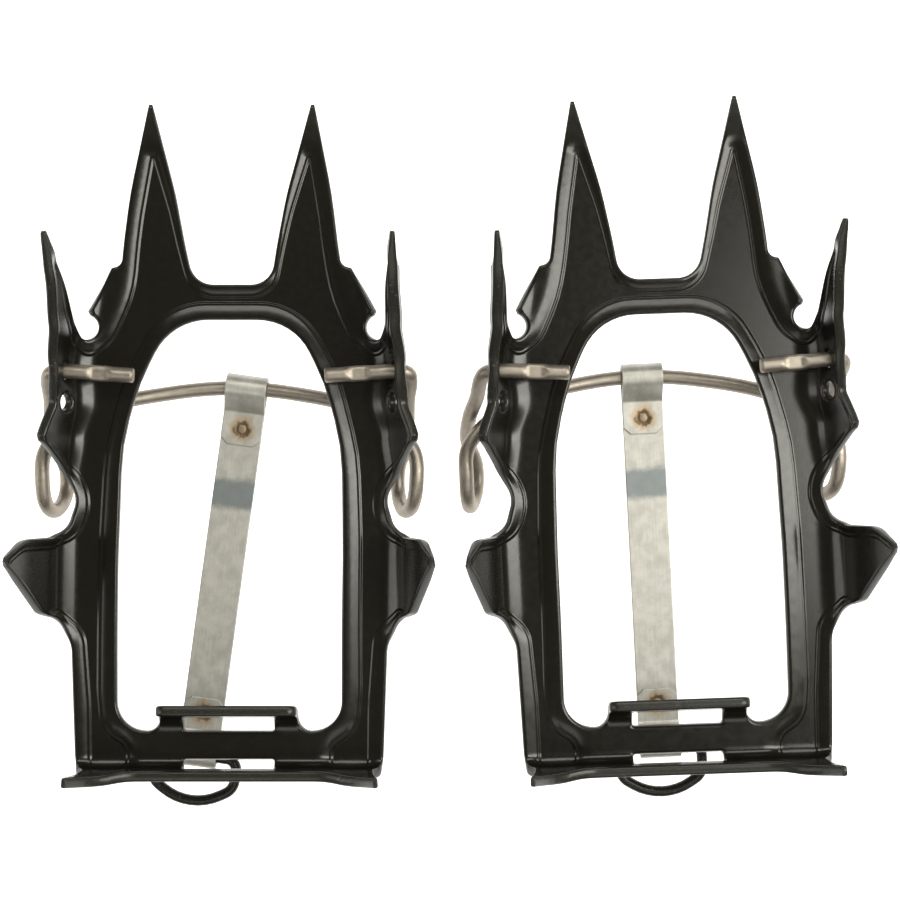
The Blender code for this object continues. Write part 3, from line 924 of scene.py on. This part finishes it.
def band_profile():
    """The band's middle line from the upper flap's end to the lower flap's, and how many points are flap."""
    strip_z = -(BAIL_WIRE / 2 + FOLD_PLAY + BAND_SHEET / 2)
    ring_z = strip_z + RING_WIRE / 2 + FOLD_PLAY + BAND_SHEET / 2
    upper = fold_profile(BAIL_WIRE, 1.0, (0.0, 0.0))
    lower = fold_profile(RING_WIRE, -1.0, (-BAND_LENGTH, ring_z))
    flat_z = strip_z + BAND_SHEET + FLAP_GAP
    flap_steps = 26
    flap = [FLAP_PINCH + (FLAP_END - FLAP_PINCH) * k / flap_steps for k in range(flap_steps + 1)]
    upper += [(-y, flat_z) for y in flap]
    lower += [(y - BAND_LENGTH, flat_z) for y in flap]
    strip_steps = 70
    shares = [k / strip_steps for k in range(1, strip_steps)]
    strip = [(-BAND_LENGTH * share, strip_z + strip_rise(share)) for share in shares]
    return list(reversed(upper)) + strip + lower, len(flap)


def band_half_width(y, on_flap):
    """Half the band's width at y; the flaps' free corners are cut off."""
    half = BAND_WIDTH / 2
    if not on_flap:
        return half
    to_end = min(abs(y + FLAP_END), abs(y + BAND_LENGTH - FLAP_END))
    return half - max(0.0, FLAP_CHAMFER - to_end)


def weld_dent(x, y, centre_y):
    """How far a spot weld presses the flap in: a ring-shaped dent round a low middle."""
    away = math.hypot(x, y - centre_y)
    groove = -WELD_GROOVE * math.exp(-(((away - WELD_RADIUS) / WELD_GROOVE_WIDTH) ** 2))
    return groove - WELD_DISH * math.exp(-((away / WELD_DISH_WIDTH) ** 2))


def band_piece(side, material):
    """The folded instep band, with the dents of its two spot welds."""
    profile, flap_rows = band_profile()
    columns = 36
    points = []
    for i, (y, z) in enumerate(profile):
        on_flap = i < flap_rows or i >= len(profile) - flap_rows
        half = band_half_width(y, on_flap)
        for k in range(columns + 1):
            x = half * (2.0 * k / columns - 1.0)
            press = sum(weld_dent(x, y, centre) for centre in WELDS) if on_flap else 0.0
            points.append(Vector((x, y, z + press)))
    faces = []
    width = columns + 1
    for i in range(len(profile) - 1):
        for k in range(columns):
            a = i * width + k
            faces.append((a, a + 1, a + width + 1, a + width))
    piece = mesh_piece(f"{side}_band_strip", points, faces, joint_frame(f"{side}_band_hinge"), material)
    shell = piece.modifiers.new("sheet", "SOLIDIFY")
    shell.thickness = BAND_SHEET * MM
    shell.offset = 0.0
    shell.use_even_offset = True
    soft = piece.modifiers.new("edges", "BEVEL")
    soft.width = BAND_BEVEL * MM
    soft.segments = 2
    soft.limit_method = "ANGLE"
    soft.angle_limit = math.radians(50.0)
    return piece


# ---------------------------------------------------------------- materials


PAINT_DARK = (0.0070, 0.0062, 0.0042, 1.0)
PAINT_LIGHT = (0.0086, 0.0077, 0.0054, 1.0)
SHEARED = (0.034, 0.034, 0.029, 1.0)
BARE_STEEL = (0.20, 0.20, 0.19, 1.0)
NICKEL_DARK = (0.23, 0.20, 0.165, 1.0)
NICKEL_LIGHT = (0.43, 0.385, 0.335, 1.0)
STAINLESS_DARK = (0.415, 0.405, 0.375, 1.0)
STAINLESS_LIGHT = (0.53, 0.515, 0.48, 1.0)
WELD_GOLD = (0.40, 0.28, 0.14, 1.0)
WELD_CORE = (0.20, 0.15, 0.10, 1.0)
WELD_BROWN = (0.07, 0.038, 0.018, 1.0)
# Painted reflection: the darker blue-grey stripe across the band's strip
PAINTED_REFLECTION_BLUE = (0.15, 0.18, 0.195, 1.0)
RING_BLACK = (0.013, 0.012, 0.0105, 1.0)
RING_RUBBED = (0.13, 0.12, 0.10, 1.0)

# The band's painted reflection, a darker blue-grey stripe across it, fades in and out between these places
# along it
PAINTED_REFLECTION_FADES = ((-35.3, -32.6), (-24.6, -27.0))


class Paint:
    """A material's node tree, with short ways to add to it."""

    def __init__(self, name):
        self.material = bpy.data.materials.new(name)
        self.material.use_nodes = True
        self.tree = self.material.node_tree
        self.shader = self.tree.nodes["Principled BSDF"]

    def node(self, kind, **settings):
        """Adds a node and sets its properties and inputs, from values or other nodes' outputs."""
        made = self.tree.nodes.new(kind)
        for key, value in settings.items():
            if hasattr(made, key):
                setattr(made, key, value)
            else:
                self.feed(made.inputs[key.replace("_", " ")], value)
        return made

    def feed(self, socket, value):
        """Links an output to an input, or sets the input's value."""
        if isinstance(value, bpy.types.NodeSocket):
            self.tree.links.new(value, socket)
        else:
            socket.default_value = value

    def attribute(self, name, output="Fac"):
        """An attribute of the mesh."""
        return self.node("ShaderNodeAttribute", attribute_name=name).outputs[output]

    def scaled(self, vector, scale):
        """A vector times a vector."""
        made = self.node("ShaderNodeVectorMath", operation="MULTIPLY")
        self.feed(made.inputs[0], vector)
        self.feed(made.inputs[1], scale)
        return made.outputs[0]

    def y_of(self, vector):
        """A vector's Y."""
        made = self.node("ShaderNodeSeparateXYZ")
        self.feed(made.inputs[0], vector)
        return made.outputs["Y"]

    def noise(self, vector, scale, detail=4.0, roughness=0.55):
        """Noise from 0 to 1."""
        made = self.node("ShaderNodeTexNoise", Scale=scale, Detail=detail, Roughness=roughness)
        self.feed(made.inputs["Vector"], vector)
        return made.outputs["Fac"]

    def ramp(self, value, low, high, out_low=0.0, out_high=1.0):
        """Maps a value smoothly from one range to another."""
        made = self.node("ShaderNodeMapRange", interpolation_type="SMOOTHSTEP")
        for socket, number in zip(made.inputs[:5], (value, low, high, out_low, out_high)):
            self.feed(socket, number)
        return made.outputs[0]

    def times(self, a, b):
        """The product of two values."""
        made = self.node("ShaderNodeMath", operation="MULTIPLY")
        self.feed(made.inputs[0], a)
        self.feed(made.inputs[1], b)
        return made.outputs[0]

    def plus(self, a, b):
        """The sum of two values."""
        made = self.node("ShaderNodeMath", operation="ADD")
        self.feed(made.inputs[0], a)
        self.feed(made.inputs[1], b)
        return made.outputs[0]

    def mixed(self, share, first, second):
        """A colour between two colours."""
        made = self.node("ShaderNodeMix", data_type="RGBA")
        self.feed(made.inputs[0], share)
        self.feed(made.inputs[6], first)
        self.feed(made.inputs[7], second)
        return made.outputs[2]

    def bumped(self, height, strength, distance):
        """A bump from a height."""
        made = self.node("ShaderNodeBump", Strength=strength, Distance=distance)
        self.feed(made.inputs["Height"], height)
        return made.outputs["Normal"]

    def surface(self, **inputs):
        """Feeds the Principled shader's inputs."""
        for key, value in inputs.items():
            self.feed(self.shader.inputs[key.replace("_", " ")], value)


def black_paint():
    """Satin black paint with a fine orange peel, rubbed and sheared metal along the cut edges."""
    paint = Paint("black_paint")
    place = paint.attribute("place", "Vector")
    rim = paint.attribute("rim")
    blotch = paint.noise(place, 0.05, 2.0)
    rub = paint.noise(place, 1.3, 5.0, 0.65)
    edge = paint.ramp(rim, 0.45, 0.02)
    worn = paint.times(edge, paint.ramp(rub, 0.58, 0.72))
    tips = paint.ramp(paint.noise(place, 0.12, 2.0), 0.56, 0.7)
    worn = paint.times(worn, paint.plus(0.12, tips))
    shear = paint.noise(paint.scaled(place, (2.2, 2.2, 0.25)), 1.6, 3.0)
    cut = paint.times(edge, paint.ramp(shear, 0.4, 0.75, 0.1, 0.8))
    base = paint.mixed(blotch, PAINT_DARK, PAINT_LIGHT)
    base = paint.mixed(cut, base, SHEARED)
    base = paint.mixed(worn, base, BARE_STEEL)
    rough = paint.ramp(paint.noise(place, 0.5, 4.0), 0.3, 0.7, 0.2, 0.25)
    rough = paint.plus(rough, paint.times(edge, 0.12))
    peel = paint.noise(place, 2.6, 2.0)
    grain = paint.plus(paint.times(peel, 0.35), paint.times(cut, 1.2))
    paint.surface(
        Base_Color=base,
        Roughness=rough,
        Metallic=paint.times(worn, 0.7),
        Specular_IOR_Level=0.34,
        Coat_Weight=0.12,
        Coat_Roughness=0.12,
        Normal=paint.bumped(grain, 0.12, 0.00012),
    )
    return paint.material


def satin_nickel():
    """Warm satin wire with fine drawing marks."""
    paint = Paint("satin_nickel")
    place = paint.attribute("place", "Vector")
    mottle = paint.noise(place, 0.55, 5.0, 0.7)
    fine = paint.noise(place, 5.0, 3.0)
    base = paint.mixed(mottle, NICKEL_DARK, NICKEL_LIGHT)
    rough = paint.ramp(paint.noise(place, 1.1, 4.0), 0.3, 0.75, 0.42, 0.58)
    paint.surface(
        Base_Color=base,
        Roughness=rough,
        Metallic=1.0,
        Normal=paint.bumped(fine, 0.12, 0.00006),
    )
    return paint.material


def distance_from(paint, place, centre):
    """The distance in the band's plane from a spot."""
    made = paint.node("ShaderNodeVectorMath", operation="DISTANCE")
    paint.feed(made.inputs[0], paint.scaled(place, (1.0, 1.0, 0.0)))
    paint.feed(made.inputs[1], centre)
    return made.outputs["Value"]


def brushed_stainless():
    """Rolled stainless strip with fine lengthwise marks, a painted reflection as a blue-grey stripe across it
    and its two welds' heat tints.
    """
    paint = Paint("brushed_stainless")
    place = paint.attribute("place", "Vector")
    streak = paint.noise(paint.scaled(place, (7.0, 0.12, 1.0)), 1.0, 4.0, 0.6)
    cloud = paint.noise(place, 0.16, 3.0)
    # Place along the band, made wavy with noise, for the edges of the painted reflection's stripe
    along = paint.plus(paint.y_of(place), paint.ramp(paint.noise(place, 0.5, 4.0), 0.2, 0.8, -0.6, 0.6))
    mottle = paint.plus(paint.times(streak, 0.4), paint.times(paint.noise(place, 0.3, 4.0), 0.6))
    base = paint.mixed(paint.ramp(mottle, 0.38, 0.62), STAINLESS_DARK, STAINLESS_LIGHT)
    warp = paint.ramp(paint.noise(place, 0.6, 3.0), 0.2, 0.8, -0.5, 0.5)
    for weld_y, glow in zip(WELDS, (1.0, 0.95)):
        away = paint.plus(distance_from(paint, place, (0.0, weld_y, 0.0)), warp)
        gold = paint.times(paint.ramp(away, 4.6, 2.2), 0.75 * glow)
        base = paint.mixed(gold, base, WELD_GOLD)
        core = paint.times(paint.ramp(away, 2.0, 1.2), 0.6 * glow)
        base = paint.mixed(core, base, WELD_CORE)
        burnt = paint.times(paint.ramp(away, 2.7, 2.0), paint.ramp(away, 0.9, 1.4))
        base = paint.mixed(paint.times(burnt, 0.85 * glow), base, WELD_BROWN)
    # Painted reflection: a darker blue-grey stripe across the strip, mixed into the base colour
    fade_in, fade_out = (paint.ramp(along, *fade) for fade in PAINTED_REFLECTION_FADES)
    mix_share = paint.times(fade_in, fade_out)
    base = paint.mixed(paint.times(mix_share, 0.8), base, PAINTED_REFLECTION_BLUE)
    rough = paint.ramp(cloud, 0.3, 0.7, 0.44, 0.48)
    fine = paint.noise(place, 3.5, 2.0)
    height = paint.plus(paint.times(streak, 0.7), paint.times(fine, 0.5))
    paint.surface(
        Base_Color=base,
        Roughness=rough,
        Metallic=0.6,
        Normal=paint.bumped(height, 0.1, 0.00004),
    )
    return paint.material


def black_steel():
    """Blackened ring wire, rubbed bright in places."""
    paint = Paint("black_steel")
    place = paint.attribute("place", "Vector")
    rub = paint.noise(place, 0.9, 5.0, 0.7)
    worn = paint.ramp(rub, 0.58, 0.74, 0.0, 0.5)
    base = paint.mixed(worn, RING_BLACK, RING_RUBBED)
    fine = paint.noise(place, 4.0, 3.0)
    paint.surface(
        Base_Color=base,
        Roughness=paint.ramp(rub, 0.3, 0.8, 0.22, 0.4),
        Metallic=0.3,
        Specular_IOR_Level=0.4,
        Normal=paint.bumped(fine, 0.15, 0.0001),
    )
    return paint.material


# ---------------------------------------------------------------- stage


# Stage, in metres from here on. The camera stands over a point this far from the left pins' middle
LEFT_PINS_TO_CENTRE = Vector((0.0589, -0.0211, 0.0))
CAMERA_HEIGHT = 0.550
CAMERA_LENS = 81.5
FLOOR_DEPTH = 0.12
FLOOR_HALF = 3.0
WARM_WHITE = (1.0, 0.985, 0.9)
WARM_GREY = (1.0, 0.98, 0.88, 1.0)
SURROUND_STRENGTH = 0.12

# Lights. Columns: name, place, size, power in watts.
LIGHTS = (
    ("key", (0.70, 0.05, 0.90), (0.30, 1.0), 11.0),
    ("top", (0.05, 0.66, 0.90), (1.1, 0.28), 5.5),
    ("fill", (-1.05, -0.1, 0.45), (0.3, 0.9), 3.0),
    ("front", (0.0, -0.62, 0.95), (1.2, 0.4), 3.0),
)


def add_camera():
    """Looks straight down on the pair."""
    centre = crampon_frame("left").translation + LEFT_PINS_TO_CENTRE
    data = bpy.data.cameras.new("camera")
    data.lens = CAMERA_LENS
    data.clip_start = 0.01
    camera = bpy.data.objects.new("camera", data)
    camera.location = centre + UP * CAMERA_HEIGHT
    bpy.context.scene.collection.objects.link(camera)
    bpy.context.scene.camera = camera


def add_light(name, place, size, power):
    """A soft rectangular light that faces the object."""
    data = bpy.data.lights.new(name, "AREA")
    data.shape = "RECTANGLE"
    data.size, data.size_y = size
    data.energy = power
    data.color = WARM_WHITE
    light = bpy.data.objects.new(name, data)
    light.location = place
    light.rotation_euler = (-Vector(place)).to_track_quat("-Z", "Y").to_euler()
    bpy.context.scene.collection.objects.link(light)


def add_world():
    """An even, dim surround."""
    world = bpy.data.worlds.new("world")
    world.use_nodes = True
    background = world.node_tree.nodes["Background"]
    background.inputs["Color"].default_value = WARM_GREY
    background.inputs["Strength"].default_value = SURROUND_STRENGTH
    bpy.context.scene.world = world


def add_floor():
    """A pale floor, lower than a strap ring on a band that is turned straight down."""
    paint = Paint("floor")
    mix_share = paint.noise(paint.node("ShaderNodeTexCoord").outputs["Object"], 3.0, 2.0)
    white = paint.mixed(mix_share, (0.87, 0.87, 0.87, 1.0), (0.9, 0.9, 0.9, 1.0))
    paint.surface(Base_Color=white, Roughness=0.8, Emission_Color=white, Emission_Strength=0.9)
    mesh = bpy.data.meshes.new("floor")
    signs = ((-1, -1), (1, -1), (1, 1), (-1, 1))
    corners = [(x * FLOOR_HALF, y * FLOOR_HALF, -FLOOR_DEPTH) for x, y in signs]
    mesh.from_pydata(corners, [], [(0, 1, 2, 3)])
    mesh.materials.append(paint.material)
    floor = bpy.data.objects.new("floor", mesh)
    bpy.context.scene.collection.objects.link(floor)


def add_stage():
    """The floor, the lights, the surround and the camera."""
    add_floor()
    add_world()
    for light in LIGHTS:
        add_light(*light)
    bpy.context.scene.view_settings.view_transform = "Standard"
    add_camera()


# ---------------------------------------------------------------- the pair


def put(piece, node):
    """Lets a piece ride in place of its CAD node, whose body has the same name."""
    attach(piece, node)
    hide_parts(node)


def main():
    """Builds the looks."""
    paint = black_paint()
    nickel = satin_nickel()
    stainless = brushed_stainless()
    steel = black_steel()
    flat = FlatSheet()
    for side in ("left", "right"):
        put(frame_piece(side, flat, paint), f"{side}_frame")
        put(bail_piece(side, nickel), f"{side}_toe_bail")
        put(band_piece(side, stainless), f"{side}_instep_band")
        put(ring_piece(side, steel), f"{side}_strap_ring")
    add_stage()


main()
